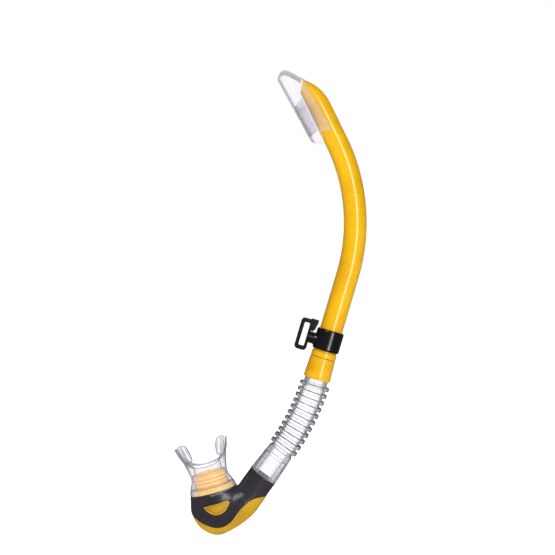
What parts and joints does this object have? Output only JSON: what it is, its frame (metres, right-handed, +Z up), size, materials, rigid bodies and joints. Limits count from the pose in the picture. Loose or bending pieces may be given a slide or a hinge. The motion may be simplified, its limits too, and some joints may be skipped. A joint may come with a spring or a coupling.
{
  "type": "snorkel tube",
  "caption": "Semi-dry snorkel: curved barrel with a clear splash guard, sliding strap keeper, swivel collar, corrugated flex hose, and a purge chamber with a soft mouthpiece.",
  "frame": {"origin": "on the barrel's axis, in the middle of the free straight stretch that is gripped, between the strap keeper's top and the bend", "axes": "+Z up, as the snorkel is worn; the tube lies in the XZ plane with the mouthpiece chamber towards -X; +Y is the normal of its plane of symmetry"},
  "size_m": [0.1866, 0.033, 0.4481],
  "materials": {
    "barrel_yellow": "glossy",
    "clear_plastic": "clear",
    "frosted_plastic": "frosted",
    "black_plastic": "glossy",
    "collar_yellow": "translucent",
    "clear_silicone": "clear silicone",
    "charcoal": "satin",
    "golden_yellow": "satin",
    "black_rubber": "matte",
    "white_plastic": "satin",
    "steel": "turned"
  },
  "bodies": {
    "barrel": {"barrel": "barrel_yellow", "splash_guard": "clear_plastic", "splash_baffle": "frosted_plastic", "swivel_ring": "collar_yellow", "swivel_snap_ring": "white_plastic"},
    "keeper": {"keeper_ring": "black_plastic", "keeper_pivot_pin": "steel"},
    "strap_loop": {"strap_loop": "black_plastic"},
    "hose_top": {"swivel_sleeve": "collar_yellow", "swivel_o_ring": "black_rubber", "upper_hose_spigot": "clear_plastic", "flex_hose": "clear_silicone"},
    "chamber": {"hose_cuff": "clear_silicone", "lower_hose_spigot": "clear_plastic", "chamber_shell": "charcoal", "purge_cover": "golden_yellow", "badge_front": "golden_yellow", "badge_back": "golden_yellow", "purge_valve_seat": "golden_yellow", "mouthpiece_spigot": "golden_yellow", "mouthpiece": "clear_silicone"},
    "purge_valve": {"purge_valve": "clear_silicone"}
  },
  "joints": [
    {"name": "keeper_slide", "type": "slide", "parent": "barrel", "child": "keeper", "axis": [0.2857, 0, 0.9583], "range_m": [0, 0.045]},
    {"name": "strap_loop_pivot", "type": "hinge", "parent": "keeper", "child": "strap_loop", "pos_m": [-0.01143, 0, -0.03833], "axis": [-0.9583, 0, 0.2857], "continuous": true},
    {"name": "collar_swivel", "type": "hinge", "parent": "barrel", "child": "hose_top", "pos_m": [-0.0177, 0, -0.0594], "axis": [0.2857, 0, 0.9583], "continuous": true},
    {"name": "hose_flex", "type": "hinge", "parent": "hose_top", "child": "chamber", "pos_m": [-0.0361, 0, -0.1097], "axis": [0, 1, 0], "range_deg": [-20, 35], "stiffness_Nm_per_rad": 0.8, "springref_deg": 3.44, "deforming": ["flex_hose"]},
    {"name": "purge_lift", "type": "slide", "parent": "chamber", "child": "purge_valve", "axis": [0.2588, 0, -0.9659], "range_m": [0, 0.0013], "stiffness_N_per_m": 30, "springref_m": -0.001}
  ]
}
